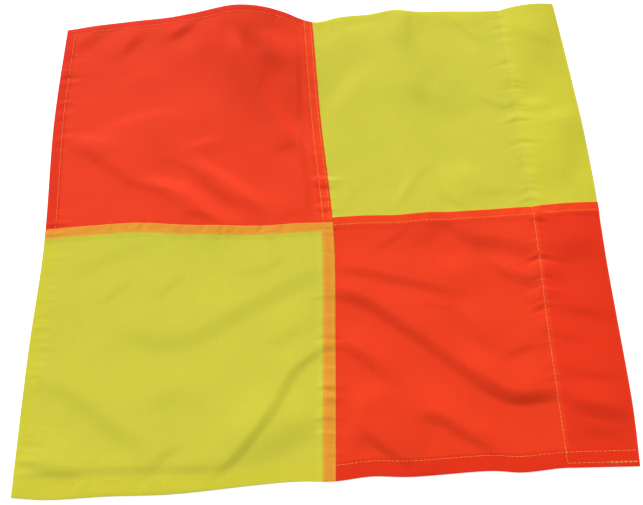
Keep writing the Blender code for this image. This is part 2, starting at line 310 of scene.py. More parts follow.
class LaidCloth:
    """Turns a place on the flat pattern into the place where that cloth lies."""

    # Wander of the pattern's upright lines, from the bottom edge to the top.
    FLY = Drift(((0, -3.5), (0.25, -3), (0.47, -0.5), (0.75, -3.5), (1, -1)))
    CENTRE = Drift(((0, 2.5), (0.25, 6.5), (0.48, 9), (0.75, 3.5), (1, 0.5)))
    SLEEVE = Drift(((0, -4.5), (0.25, -3), (0.5, 0), (1, 0)))
    HOIST = Drift(((0, -5.5), (0.12, -2.5), (0.37, -0.5), (0.63, 2.5), (1, -1.5)))
    # Wander of its level lines, from the fly to the hoist, and of the level seam in each half.
    BOTTOM = Drift(
        (
            *((0, -1.5), (0.06, -4), (0.15, -3.5), (0.25, -4), (0.38, -0.5), (0.44, 0.5), (0.5, -0.5)),
            *((0.56, 1.5), (0.63, 0), (0.75, 1.5), (0.81, -0.5), (0.88, 1), (1, 0)),
        )
    )
    FLY_CROSS = Drift(((0, 0.5), (0.25, 2.5), (0.37, 1.5), (0.5, -2), (0.75, -5.5), (0.87, -5), (1, -6)))
    HOIST_CROSS = Drift(((0, -1.5), (0.12, -1), (0.25, -2), (0.37, -1), (0.5, -1.5), (0.75, 0), (1, 1)))
    TOP = Drift(
        (
            *((0, -3), (0.12, 2.5), (0.19, 4), (0.37, 4), (0.44, 1), (0.5, -8)),
            *((0.56, -3), (0.63, -2), (0.75, -2), (0.88, -4.5), (1, -0.5)),
        )
    )

    WAVES = (
        Wave((-14, 90), (-62, 212), 13.5, 37, 4),
        Wave((104, 84), (64, 208), 4.5, 15, -3),
    )
    UPPER_FLY = (
        Fold(((-50, 182), (-32, 186), (-10, 178)), 0.10, 12),
        Fold(((-50, 150), (-34, 148), (-10, 134)), 0.10, 14),
        Fold(((-12, 152), (-34, 170), (-56, 166)), 0.10, 8),
        Fold(((-14, 62), (-26, 90), (-37, 114), (-47, 138), (-64, 182)), 0.62, 7, 12),
        Fold(((-200, 158), (-130, 160), (-70, 166)), 0.035, 55, 24),
        Fold(((-72, 148), (-74, 192)), 0.14, 8),
        Fold(((-122, 170), (-106, 182), (-88, 192)), 0.28, 7, 12),
        Fold(((-158, 152), (-147, 170), (-136, 185), (-130, 192)), 0.20, 8),
        Fold(((-198, 166), (-180, 182), (-156, 200)), 0.16, 10),
        Fold(((-166, 120), (-192, 119)), 0.06, 6),
        Fold(((-96, 101), (-118, 104), (-142, 98), (-172, 86)), 0.10, 8),
        Fold(((-146, 66), (-160, 78), (-194, 88)), 0.12, 9),
        Fold(((-196, 84), (-166, 60), (-142, 36), (-116, 26), (-98, 2)), 0.16, 8),
        Fold(((-56, -2), (-80, 12), (-105, 34), (-142, 40)), 0.25, 11),
        Fold(((-128, 60), (-100, 48), (-74, 24), (-46, 10)), 0.17, 8),
        Fold(((-36, 10), (-64, 36), (-90, 58), (-104, 66)), 0.30, 10),
        Fold(((-68, 80), (-90, 75), (-108, 64)), 0.14, 6, 12),
        Fold(((-40, 62), (-18, 72)), 0.10, 6, 10),
        Fold(((-14, -6), (-16, 60), (-15, 110), (-12, 176)), 0.26, 4, 12),
        Fold(((-106, 12), (-90, 8), (-76, 0)), 0.18, 6, 12),
        Fold(((-42, 2), (-28, 8), (-18, 6)), 0.08, 4, 10),
        Fold(((-108, 150), (-138, 142), (-168, 124)), 0.05, 8),
    )
    UPPER_HOIST = (
        Fold(((120, 133), (92, 129)), 0.03, 12),
        Fold(((56, 152), (35, 138), (16, 116), (-4, 96)), 0.08, 14),
        Fold(((90, 100), (80, 132), (75, 160), (74, 200)), 0.24, 12, 16),
        Fold(((66, 112), (90, 112), (122, 112)), 0.045, 34, 26),
        Fold(((124, 46), (98, 36), (74, 30)), 0.06, 16),
        Fold(((66, 187), (30, 186), (12, 176), (-4, 162)), 0.05, 8),
        Fold(((48, 0), (58, 15), (72, 35), (90, 49)), 0.09, 5, 14),
        Fold(((64, 38), (46, 6)), 0.10, 6, 14),
        Fold(((84, 22), (95, 8), (106, -2)), 0.14, 4, 10),
        Fold(((0, 0), (40, 43)), 0.04, 6),
        Fold(((120, 111), (136, 99), (154, 90)), 0.13, 6, 16),
        Fold(((100, 10), (120, 15), (140, 15), (156, 11)), 0.06, 6),
        Fold(((108, 196), (124, 176), (137, 158)), 0.20, 5, 14),
        Fold(((94, 187), (154, 184)), 0.06, 9),
        Fold(((156, 138), (204, 142)), 0.06, 26),
        Fold(((186, 102), (152, 96)), 0.12, 9, 12),
        Fold(((208, 88), (178, 84), (148, 79)), 0.11, 11, 16),
        Fold(((186, 10), (187, 80)), 0.12, 13),
        Fold(((156, 184), (175, 165), (202, 148)), 0.10, 9),
    )
    LOWER_FLY = (
        Fold(((-84, -200), (-60, -178), (-40, -150), (-24, -120), (4, -96)), 0.23, 6, 20),
        Fold(((-66, -196), (-34, -178), (0, -154)), 0.11, 22),
        Fold(((-150, -80), (-118, -96), (-92, -92), (-60, -72), (-30, -54), (4, -36)), 0.085, 11),
        Fold(((-52, -110), (-28, -92), (0, -80)), 0.06, 10),
        Fold(((-200, -117), (-170, -134), (-140, -158), (-112, -180)), 0.13, 11),
        Fold(((-118, -190), (-105, -173), (-92, -170)), 0.13, 6, 14),
        Fold(((-138, -152), (-105, -136), (-88, -144), (-74, -156)), 0.05, 12),
        Fold(((-166, -66), (-150, -60), (-134, -42)), 0.08, 6, 14),
        Fold(((-122, -66), (-110, -50), (-101, -36)), 0.08, 4, 12),
        Fold(((-188, -50), (-165, -35), (-140, -23), (-100, -8)), 0.045, 8),
        Fold(((-78, -41), (-45, -37), (-22, -16)), 0.06, 7),
        Fold(((-204, -186), (-130, -184), (-56, -187)), 0.12, 5, 8),
        Fold(((-204, -177), (-178, -182), (-150, -189)), 0.13, 9, 16),
    )
    LOWER_HOIST = (
        Fold(((-14, -52), (25, -76), (62, -105), (92, -131), (124, -150), (166, -150)), 0.33, 9, 22),
        Fold(((84, -132), (116, -154), (158, -158)), 0.16, 9, 14),
        Fold(((-10, -34), (25, -50), (52, -57), (76, -65), (100, -76)), 0.19, 7, 16),
        Fold(((24, -36), (46, -20), (68, -6)), 0.10, 5, 14),
        Fold(((46, -24), (70, -20), (96, -10)), 0.06, 14),
        Fold(((78, 0), (102, -25), (128, -32), (166, -48)), 0.20, 11, 18),
        Fold(((106, -38), (128, -55), (166, -74)), 0.25, 8, 16),
        Fold(((118, -42), (134, -69), (154, -88)), 0.16, 6, 12),
        Fold(((60, -74), (90, -84)), 0.12, 4, 10),
        Fold(((86, -74), (100, -102), (118, -122)), 0.22, 10, 16),
        Fold(((-4, -94), (20, -117), (44, -142)), 0.32, 8, 16),
        Fold(((112, -126), (130, -116), (158, -112)), 0.14, 5, 12),
        Fold(((48, -160), (68, -162), (92, -180), (114, -196)), 0.32, 8, 16),
        Fold(((14, -162), (30, -181), (54, -196)), 0.32, 6, 14),
        Fold(((12, -130), (12, -186)), 0.16, 12, 16),
        Fold(((108, -30), (72, -42)), 0.07, 18),
        Fold(((152, -45), (206, -37)), 0.10, 16),
        Fold(((156, -82), (204, -98)), 0.14, 7, 14),
        Fold(((148, -102), (182, -115)), 0.12, 5, 12),
        Fold(((148, -131), (206, -144)), 0.13, 6, 14),
        Fold(((146, -149), (175, -162), (208, -171)), 0.22, 9, 18),
        Fold(((148, -176), (206, -183)), 0.14, 12),
    )
    MATCH = 30 * MM  # how far from the upright seam the hoist's cloth has its own shape
    BED = 0.5 * MM  # the lowest that the cloth's middle lies, over its own turned layers
    SOFT = 0.4 * MM  # how gently the cloth comes down onto that bed
    SWELL = 0.3 * MM  # height of the broad unevenness
    CRUMPLE = 0.05 * MM  # height of the fine unevenness
    LIE = 1.1 * MM  # how far the field lies off the floor on its own small creases
    LIE_REACH = 30 * MM
    ROLL = 0.3 * MM  # how far a hemmed edge rolls down
    ROLL_REACH = 0.8 * MM
    SHUT = 45 * MM  # length over which the sleeve flattens towards its sewn end
    MOUTH = 70 * MM  # length over which it opens towards its mouth
    LOFT = 1.1 * MM  # how far the sleeve's front layer stands up
    MOUTH_LOFT = 2.6 * MM  # how much further it does so at the mouth

    def __init__(self, pattern: Pattern) -> None:
        """Keep the pattern and set up the puckers of each row.

        Args:
            pattern: The flat pattern that is laid.
        """
        self.pattern = pattern
        self.sleeve_puckers = Puckers(0.85, 8, 8, 5.0, 0.35, 11)
        self.fly_puckers = Puckers(0.7, 6, 6, 5.0, 0.05, 21)
        self.top_puckers = Puckers(0.35, 9, 5, 7.5, 0.1, 31)
        self.bottom_puckers = Puckers(0.5, 6, 8, 6.0, 0.3, 41)
        self.seam_puckers = Puckers(0.95, 3.5, 8, 4.4, 0.15, 51)
        self.cross_puckers = Puckers(0.7, 4, 7, 4.6, -0.3, 61)
        self.end_puckers = Puckers(0.5, 6, 4, 6.0, 0.2, 71)
        self.swells = Noise(81, 52 * MM)
        self.crumple = Noise(82, 13 * MM)

    def matched(self, u: np.ndarray, v: np.ndarray) -> np.ndarray:
        """Places up the fly's pattern for the hoist's cloth, so that both match at their seam."""
        p = self.pattern
        step = (self.HOIST_CROSS.turns[0][1] - self.FLY_CROSS.turns[-1][1]) * MM
        reach = np.where(v > p.seam_y, p.top - p.seam_y, p.seam_y - p.bottom)
        share = 1 - np.abs(v - p.seam_y) / reach
        return v + step * share * (1 - eased((u - p.seam_x) / self.MATCH))

    def bed_height(self, u: np.ndarray, v: np.ndarray, at_hoist: bool) -> np.ndarray:
        """Height over the floor of the middle of the lowest layer.

        Args:
            u: Places across the pattern.
            v: Places up the pattern.
            at_hoist: Whether the cloth belongs to the hoist's half.

        Returns:
            The heights.
        """
        p = self.pattern
        if at_hoist:
            v = self.matched(u, v)
        folds = self.WAVES + self.UPPER_FLY + self.UPPER_HOIST + self.LOWER_FLY + self.LOWER_HOIST
        z = sum(fold.lift(u, v) for fold in folds)
        turned_u, turned_v = 0.8 * u - 0.6 * v, 0.6 * u + 0.8 * v
        z = z + self.SWELL * self.swells.sheet(turned_u, turned_v)
        z = z + self.CRUMPLE * self.crumple.sheet(turned_v, turned_u)
        z = z + self.sleeve_puckers.lift(v, u - p.sleeve_row)
        z = z + self.fly_puckers.lift(v, u - p.hem_x)
        z = z + self.top_puckers.lift(u, p.top - p.hem_row - v)
        z = z + self.bottom_puckers.lift(u, v - p.bottom - p.bottom_row)
        z = z + self.seam_puckers.lift(v, p.seam_x - p.inner_row - u)
        z = z + self.cross_puckers.lift(u, p.seam_y - p.cross_row - v)
        in_sleeve = eased((u - p.sleeve_row) / (2 * MM))
        z = z + in_sleeve * self.end_puckers.lift(u, v - p.bottom - p.bottom_row - 2 * MM)
        edge = np.maximum(np.minimum(np.minimum(u - p.left, v - p.bottom), p.top - v), 0)
        z = z + self.LIE * (1 - np.exp(-edge / self.LIE_REACH)) - self.ROLL * np.exp(-edge / self.ROLL_REACH)
        return self.BED + 0.5 * (z + np.sqrt(z * z + self.SOFT**2))

    def drifted(
        self, u: np.ndarray, v: np.ndarray, cross: Drift, at_hoist: bool
    ) -> tuple[np.ndarray, np.ndarray]:
        """Where a place on the pattern lies, seen from above.

        Args:
            u: Places across the pattern.
            v: Places up the pattern.
            cross: Wander of the level seam in this half.
            at_hoist: Whether the cloth belongs to the hoist's half.

        Returns:
            The places across and up the floor.
        """
        p = self.pattern
        up = (v - p.bottom) / (p.top - p.bottom)
        across = (u - p.left) / (p.right - p.left)
        lines = np.array([p.left, p.seam_x, p.sleeve_row, p.right])
        wander = np.stack([line.at(up) for line in (self.FLY, self.CENTRE, self.SLEEVE, self.HOIST)])
        index = np.clip(np.searchsorted(lines, u, side="right") - 1, 0, 2)
        share = (u - lines[index]) / (lines[index + 1] - lines[index])
        columns = np.arange(len(u))
        dx = wander[index, columns] * (1 - share) + wander[index + 1, columns] * share
        half = (across - 0.5) * 2 if at_hoist else across * 2
        middle = cross.at(half)
        above = v > p.seam_y
        edge = np.where(above, self.TOP.at(across), self.BOTTOM.at(across))
        reach = np.where(above, p.top - p.seam_y, p.seam_y - p.bottom)
        share = np.abs(v - p.seam_y) / reach
        dy = middle * (1 - share) + edge * share
        return u + dx, v + dy

    def sleeve_loft(self, u: np.ndarray, v: np.ndarray) -> np.ndarray:
        """How far the sleeve's front layer stands up from its back layer, past the layers themselves."""
        p = self.pattern
        share = np.clip((u - p.sleeve_row) / (p.right - p.fold_radius - p.sleeve_row), 0, 1)
        hump = np.sin(math.pi * share) ** 0.8
        shut = eased((v - p.bottom - p.bottom_row) / self.SHUT)
        mouth = eased((v - p.top + self.MOUTH) / self.MOUTH)
        return shut * hump * (self.LOFT + self.MOUTH_LOFT * mouth)


# ---------------------------------------------------------------- the quarters

TURNINGS = ("hem_return", "lap_return", "turn")
LAYERED = ("hem_return", "hem_band", "under", "lap", "lap_return")
TRIMMED = (
    {(zone, row) for zone in TURNINGS for row in LAYERED}
    | {("under", row) for row in ("lap", "lap_return")}
    | {("row", "hem_return"), ("back_row", "hem_return")}
)


@dataclass
class Profile:
    """The lines of a panel's grid in one direction."""

    at: list[float]
    level: list[float]
    out: list[tuple[float, float]]
    zone: list[str]

    @classmethod
    def empty(cls) -> "Profile":
        """A profile with no lines yet."""
        return cls([], [], [], [])

    def add(self, at: float, level: float, zone: str, out: tuple[float, float] = (0.0, 1.0)) -> None:
        """Add one line."""
        self.at.append(at)
        self.level.append(level)
        self.out.append(out)
        self.zone.append(zone)

    def run(
        self, start: float, stop: float, level: float, zone: str, pitch: float, down: bool = False
    ) -> None:
        """Add evenly spaced lines from start up to, and without, stop."""
        count = max(1, round(abs(stop - start) / pitch))
        for step in range(count):
            self.add(start + (stop - start) * step / count, level, zone, (0.0, -1.0 if down else 1.0))

    def fold(self, edge: float, side: int, low: float, high: float, zone: str, layer: float) -> None:
        """Add a half turn of cloth at an edge, from one level to the next."""
        radius = abs(high - low) * layer / 2
        turn = 1 if high > low else -1
        for step in range(7):
            angle = math.pi * (step / 6 - 0.5) * turn
            place = edge - side * radius + side * radius * math.cos(angle)
            self.add(place, (low + high) / 2 + abs(high - low) / 2 * math.sin(angle), zone)

    def __len__(self) -> int:
        """Number of lines."""
        return len(self.at)


@dataclass(frozen=True)
class ClothFinish:
    """Dyed nylon: its colour in one layer, in two, and over the other colour."""

    name: str
    slot: str
    single: tuple[float, float, float]
    doubled: tuple[float, float, float]
    over_other: tuple[float, float, float]
    roughness: float = 0.7
    yarn: float = 0.3 * MM  # pitch of the weave
    streak_width: float = 1.1 * MM
    streak_length: float = 16 * MM
    cloud: float = 38 * MM  # size of the soft patches in the dye

    def material(self) -> bpy.types.Material:
        """Build the cloth's material.

        Returns:
            A material that reads the cloth's UV map and its two attributes.
        """
        material = bpy.data.materials.new(self.name)
        material.use_nodes = True
        nodes, links = material.node_tree.nodes, material.node_tree.links
        shader = nodes["Principled BSDF"]
        shader.inputs["Roughness"].default_value = self.roughness
        shader.inputs["Specular IOR Level"].default_value = 0.05
        shader.inputs["Sheen Weight"].default_value = 0.02
        shader.inputs["Sheen Roughness"].default_value = 0.4
        place = nodes.new("ShaderNodeTexCoord")

        def mixed(factor: Socket, low: Socket | tuple, high: tuple) -> Socket:
            """Mix two colours by a factor socket."""
            mix = nodes.new("ShaderNodeMix")
            mix.data_type = "RGBA"
            links.new(factor, mix.inputs["Factor"])
            if isinstance(low, tuple):
                mix.inputs[6].default_value = (*low, 1)
            else:
                links.new(low, mix.inputs[6])
            mix.inputs[7].default_value = (*high, 1)
            return mix.outputs[2]

        def attribute(name: str) -> Socket:
            """Read one of the cloth's attributes."""
            node = nodes.new("ShaderNodeAttribute")
            node.attribute_name = name
            return node.outputs["Fac"]

        def noise(scale: tuple[float, float, float], detail: float) -> Socket:
            """Noise on the cloth's own map, finer in one direction where its scales differ."""
            mapping = nodes.new("ShaderNodeMapping")
            mapping.inputs["Scale"].default_value = scale
            links.new(place.outputs["UV"], mapping.inputs["Vector"])
            texture = nodes.new("ShaderNodeTexNoise")
            texture.inputs["Scale"].default_value = 1.0
            texture.inputs["Detail"].default_value = detail
            links.new(mapping.outputs["Vector"], texture.inputs["Vector"])
            return texture.outputs["Fac"]

        def math_node(operation: str, first: Socket, second: Socket | float) -> Socket:
            """One step of arithmetic."""
            node = nodes.new("ShaderNodeMath")
            node.operation = operation
            links.new(first, node.inputs[0])
            if isinstance(second, float):
                node.inputs[1].default_value = second
            else:
                links.new(second, node.inputs[1])
            return node.outputs[0]

        colour = mixed(attribute("doubled"), self.single, self.doubled)
        colour = mixed(attribute("over_other"), colour, self.over_other)
        fine, long, broad = 1 / self.streak_width, 1 / self.streak_length, 1 / self.cloud
        warp = noise((fine, long, 1.0), 2.0)
        weft = noise((long, fine, 1.0), 2.0)
        cloud = noise((broad, broad, 1.0), 3.0)
        streaks = math_node("ADD", warp, weft)
        tone = math_node("MULTIPLY_ADD", streaks, 0.07)
        tone.node.inputs[2].default_value = 0.92
        shade = math_node("MULTIPLY_ADD", cloud, 0.07)
        links.new(tone, shade.node.inputs[2])
        shade = math_node("SUBTRACT", shade, 0.035)
        vary = nodes.new("ShaderNodeVectorMath")
        vary.operation = "SCALE"
        links.new(colour, vary.inputs[0])
        links.new(shade, vary.inputs["Scale"])
        links.new(vary.outputs[0], shader.inputs["Base Color"])

        split = nodes.new("ShaderNodeSeparateXYZ")
        links.new(place.outputs["UV"], split.inputs[0])
        turn = 2 * math.pi / self.yarn
        across = math_node("SINE", math_node("MULTIPLY", split.outputs["X"], turn), 0.0)
        up = math_node("SINE", math_node("MULTIPLY", split.outputs["Y"], turn), 0.0)
        weave = math_node("MULTIPLY", across, up)
        weave = math_node("MULTIPLY", weave, 0.5)
        uneven = math_node("ADD", weave, streaks)
        bump = nodes.new("ShaderNodeBump")
        bump.inputs["Strength"].default_value = 0.22
        bump.inputs["Distance"].default_value = 0.08 * MM
        links.new(uneven, bump.inputs["Height"])
        links.new(bump.outputs["Normal"], shader.inputs["Normal"])
        return material


class Panel:
    """One quarter of the flag: a sheet of cloth with its turned edges."""

    PITCH = 1.25 * MM  # spacing of the grid's lines
    SEAM_PITCH = 0.8 * MM  # the same over a seam
    FRONT_START = 3 * MM  # from the sleeve's stitching, where its fine lines end
    RISE = 4.6 * MM  # how far the cloth takes to climb onto a seam
    BLUR = 2.4 * MM  # how far a lap's colour fades past its lower edge
    SLEEVE_RAMP = 8 * MM  # how far the sleeve's front layer takes to part from its back layer

    def __init__(self, name: str, node: str, cloth: LaidCloth, at_hoist: bool, upper: bool) -> None:
        """Set out one quarter.

        Args:
            name: The piece's name.
            node: The frame's node that it stands for.
            cloth: How the cloth lies.
            at_hoist: Whether it is a hoist quarter, with its half of the sleeve.
            upper: Whether it is an upper quarter.
        """
        self.name, self.node = name, node
        self.cloth, self.pattern = cloth, cloth.pattern
        self.at_hoist, self.upper = at_hoist, upper
        self.cross = cloth.HOIST_CROSS if at_hoist else cloth.FLY_CROSS

    def hem(self, profile: Profile, edge: float, inward: int, depth: float) -> None:
        """Start a profile with a hem turned under at an edge."""
        p = self.pattern
        raw = edge + inward * depth
        near = edge + inward * p.layer / 2
        profile.run(raw, near, -1, "hem_return", self.PITCH)
        profile.fold(edge, -inward, -1, 0, "hem_return", p.layer)
        profile.zone[-1] = "hem_band"
        profile.run(near + inward * 0.4 * MM, raw, 0, "hem_band", self.PITCH)

    def lap(self, profile: Profile, edge: float) -> None:
        """End a profile with the lap of a seam: up onto the other panel, and folded under."""
        p = self.pattern
        start = edge - p.seam
        for step in range(4):
            profile.add(start - self.RISE * (1 - step / 4), 2 * float(eased(np.float64(step / 4))), "field")
        profile.run(start, edge - p.layer, 2, "lap", self.SEAM_PITCH)
        profile.fold(edge, 1, 2, 1, "lap_return", p.layer)
        profile.run(edge - 1.5 * p.layer, start + self.SEAM_PITCH, 1, "lap_return", self.SEAM_PITCH)
        profile.add(start + self.SEAM_PITCH, 1, "end")

    def across(self) -> Profile:
        """The lines across this quarter, from the fly side to the hoist side."""
        p, profile = self.pattern, Profile.empty()
        if not self.at_hoist:
            self.hem(profile, p.left, 1, p.hem)
            profile.run(p.left + p.hem, p.seam_x - p.seam - self.RISE, 0, "field", self.PITCH)
            self.lap(profile, p.seam_x)
            return profile
        turn = p.sleeve_row - p.turn
        entry = p.sleeve_row + self.FRONT_START
        fold_x = p.right - p.fold_radius
        profile.run(p.seam_x - p.seam, p.seam_x, 0, "under", self.SEAM_PITCH)
        profile.run(p.seam_x, turn, 0, "field", self.PITCH)
        profile.run(turn, p.sleeve_row, 0, "row", self.PITCH)
        profile.run(p.sleeve_row, entry, 0, "row", 1 * MM)
        profile.run(entry, fold_x, 0, "front", self.PITCH)
        for step in range(11):
            angle = math.pi * (0.5 - step / 10)
            out = (math.cos(angle), math.sin(angle))
            profile.add(fold_x + p.fold_radius * out[0], 0, "fold", out)
        profile.zone[-1] = "back"
        profile.run(fold_x - 0.8 * MM, entry, 0, "back", 2 * self.PITCH, down=True)
        profile.run(entry, p.sleeve_row, 0, "back_row", 1 * MM, down=True)
        profile.run(p.sleeve_row, turn, 0, "turn", 2 * self.PITCH, down=True)
        profile.add(turn, 0, "end", (0.0, -1.0))
        return profile

    def up(self) -> Profile:
        """The lines up this quarter, from its outer edge to the level seam."""
        p, profile = self.pattern, Profile.empty()
        if self.upper:
            self.hem(profile, p.top, -1, p.hem)
            profile.run(p.top - p.hem, p.seam_y, 0, "field", self.PITCH)
            profile.run(p.seam_y, p.seam_y - p.seam, 0, "under", self.SEAM_PITCH)
            profile.add(p.seam_y - p.seam, 0, "end")
        else:
            self.hem(profile, p.bottom, 1, p.bottom_hem)
            profile.run(p.bottom + p.bottom_hem, p.seam_y - p.seam - self.RISE, 0, "field", self.PITCH)
            self.lap(profile, p.seam_y)
        return profile

    def build(self, finish: ClothFinish) -> bpy.types.Object:
        """Model the quarter and dress it.

        Args:
            finish: The cloth that it is cut from.

        Returns:
            The finished object.
        """
        across, up = self.across(), self.up()
        bpy.ops.object.select_all(action="DESELECT")
        bpy.ops.mesh.primitive_grid_add(x_subdivisions=len(across) - 1, y_subdivisions=len(up) - 1, size=2)
        panel = bpy.context.object
        panel.name = panel.data.name = self.name
        mesh = panel.data
        flat = np.empty(len(mesh.vertices) * 3)
        mesh.vertices.foreach_get("co", flat)
        flat = flat.reshape(-1, 3)
        column = np.rint((flat[:, 0] + 1) / 2 * (len(across) - 1)).astype(int)
        row = np.rint((flat[:, 1] + 1) / 2 * (len(up) - 1)).astype(int)
        mesh.vertices.foreach_set("co", self.laid(across, up, column, row).ravel())
        self.mark(mesh, across, up, column, row)
        self.trim(mesh, across, up, column, row)
        thicken = panel.modifiers.new("cloth", "SOLIDIFY")
        thicken.thickness = self.pattern.cloth
        thicken.offset = 0
        bpy.ops.object.modifier_apply(modifier=thicken.name)
        bpy.ops.object.shade_smooth_by_angle(angle=math.radians(60))
        panel.data.materials.clear()
        panel.data.materials.append(finish.material())
        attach(panel, "root")
        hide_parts(self.node)
        self.cut_size()
        return panel

    def cut_size(self) -> tuple[float, float]:
        """Width and length that this quarter is cut to, with its turnings."""
        p = self.pattern
        length = p.seam + (p.top - p.seam_y + p.hem if self.upper else p.seam_y - p.bottom + p.bottom_hem)
        if self.at_hoist:
            sleeve = p.right - p.sleeve_row
            return (p.right - p.seam_x + p.seam + sleeve + p.turn, length)
        return (p.seam_x - p.left + p.hem + p.seam, length)

    def laid(self, across: Profile, up: Profile, column: np.ndarray, row: np.ndarray) -> np.ndarray:
        """Places of all the grid's points.

        Args:
            across: The lines across.
            up: The lines up.
            column: Each point's line across.
            row: Each point's line up.

        Returns:
            An array of points.
        """
        p, cloth = self.pattern, self.cloth
        u, v = np.array(across.at)[column], np.array(up.at)[row]
        flat_level, up_level = np.array(across.level)[column], np.array(up.level)[row]
        out = np.array(across.out)[column]
        fold_x = p.right - p.fold_radius
        around = np.minimum(u, fold_x)
        on_fold = np.abs(out[:, 0]) > 1e-6
        x, y = cloth.drifted(np.minimum(u, p.right), v, self.cross, self.at_hoist)
        bed = cloth.bed_height(np.where(on_fold, fold_x, u), v, self.at_hoist)
        front = out[:, 1] > 0
        ramp = eased((around - p.sleeve_row) / self.SLEEVE_RAMP) * float(self.at_hoist)
        z = bed + (flat_level + up_level) * p.layer
        rise = 2 * p.layer * ramp + cloth.sleeve_loft(around, v) * float(self.at_hoist)
        z = z + np.where(front, rise, 0)
        behind = (out[:, 1] < 0) & ~on_fold
        z = np.where(behind, bed - p.layer - up_level * p.layer, z)
        reach = p.fold_radius + up_level * p.layer
        x = np.where(on_fold, x + out[:, 0] * up_level * p.layer, x)
        z = np.where(on_fold, bed + p.layer + out[:, 1] * reach, z)
        return np.stack([x, y, z], axis=1)

    def mark(
        self, mesh: bpy.types.Mesh, across: Profile, up: Profile, column: np.ndarray, row: np.ndarray
    ) -> None:
        """Write the cloth's map in metres, and where it lies double or over the other colour."""
        p = self.pattern
        zones, rows = np.array(across.zone)[column], np.array(up.zone)[row]
        double = np.isin(zones, LAYERED) | np.isin(rows, LAYERED)
        sleeve = np.isin(zones, ("front", "fold", "back")) * 0.75
        other = np.zeros(len(column))
        if not self.at_hoist:
            other = self.lapped(across, p.seam_x)[column]
        if not self.upper:
            other = np.maximum(other, self.lapped(up, p.seam_y)[row])
        values = {"doubled": np.maximum(double, sleeve), "over_other": other}
        for name, value in values.items():
            layer = mesh.attributes.new(name, "FLOAT", "POINT")
            layer.data.foreach_set("value", value.astype(np.float32))
        steps_u = np.concatenate([[0], np.cumsum(self.steps(across))])
        steps_v = np.concatenate([[0], np.cumsum(self.steps(up))])
        corners = np.empty(len(mesh.loops), int)
        mesh.loops.foreach_get("vertex_index", corners)
        chart = np.stack([steps_u[column], steps_v[row]], axis=1)[corners]
        uv = mesh.uv_layers.active or mesh.uv_layers.new(name="cloth")
        uv.data.foreach_set("uv", chart.astype(np.float32).ravel())

    def lapped(self, profile: Profile, edge: float) -> np.ndarray:
        """How far each line of a profile lies over the other colour, with a soft start."""
        return eased((np.array(profile.at) - edge + self.pattern.seam + self.BLUR / 2) / self.BLUR)

    def steps(self, profile: Profile) -> np.ndarray:
        """Length of cloth between neighbouring lines of a profile."""
        at, level = np.array(profile.at), np.array(profile.level) * self.pattern.layer
        out = np.array(profile.out)[:, 1] * self.pattern.fold_radius
        return np.sqrt(np.diff(at) ** 2 + np.diff(level) ** 2 + np.diff(out) ** 2)

    def trim(
        self, mesh: bpy.types.Mesh, across: Profile, up: Profile, column: np.ndarray, row: np.ndarray
    ) -> None:
        """Cut away the corners of the turnings, so that they don't lie on each other."""
        grid = bmesh.new()
        grid.from_mesh(mesh)
        gone = []
        for face in grid.faces:
            corners = [vert.index for vert in face.verts]
            if (across.zone[column[corners].min()], up.zone[row[corners].min()]) in TRIMMED:
                gone.append(face)
        bmesh.ops.delete(grid, geom=gone, context="FACES")
        grid.to_mesh(mesh)
        grid.free()


# ---------------------------------------------------------------- the stitching


@dataclass(frozen=True)
class ThreadFinish:
    """Polyester sewing thread, twisted from two plies."""

    name: str = "thread"
    slot: str = "thread"
    # The thread is pale yellow. Both colours carry an orange cast: painted orange light that the cloth
    # throws onto the thread, together with the cloth showing through the thin thread.
    colour: tuple[float, float, float] = (0.96, 0.54, 0.27)
    shadow: tuple[float, float, float] = (0.92, 0.44, 0.20)

    def material(self) -> bpy.types.Material:
        """The thread's material, shared by every row."""
        material = bpy.data.materials.get(self.name)
        if material:
            return material
        material = bpy.data.materials.new(self.name)
        material.use_nodes = True
        nodes, links = material.node_tree.nodes, material.node_tree.links
        shader = nodes["Principled BSDF"]
        shader.inputs["Roughness"].default_value = 0.42
        shader.inputs["Specular IOR Level"].default_value = 0.35
        shader.inputs["Sheen Weight"].default_value = 0.1
        place = nodes.new("ShaderNodeTexCoord")
        texture = nodes.new("ShaderNodeTexNoise")
        texture.inputs["Scale"].default_value = 900.0
        texture.inputs["Detail"].default_value = 1.0
        links.new(place.outputs["Object"], texture.inputs["Vector"])
        mix = nodes.new("ShaderNodeMix")
        mix.data_type = "RGBA"
        mix.inputs[6].default_value = (*self.shadow, 1)
        mix.inputs[7].default_value = (*self.colour, 1)
        links.new(texture.outputs["Fac"], mix.inputs["Factor"])
        links.new(mix.outputs[2], shader.inputs["Base Color"])
        return material


@dataclass(frozen=True)
class Run:
    """A straight run of stitches on the pattern, in one half of the flag."""

    start: tuple[float, float]
    end: tuple[float, float]
    at_hoist: bool


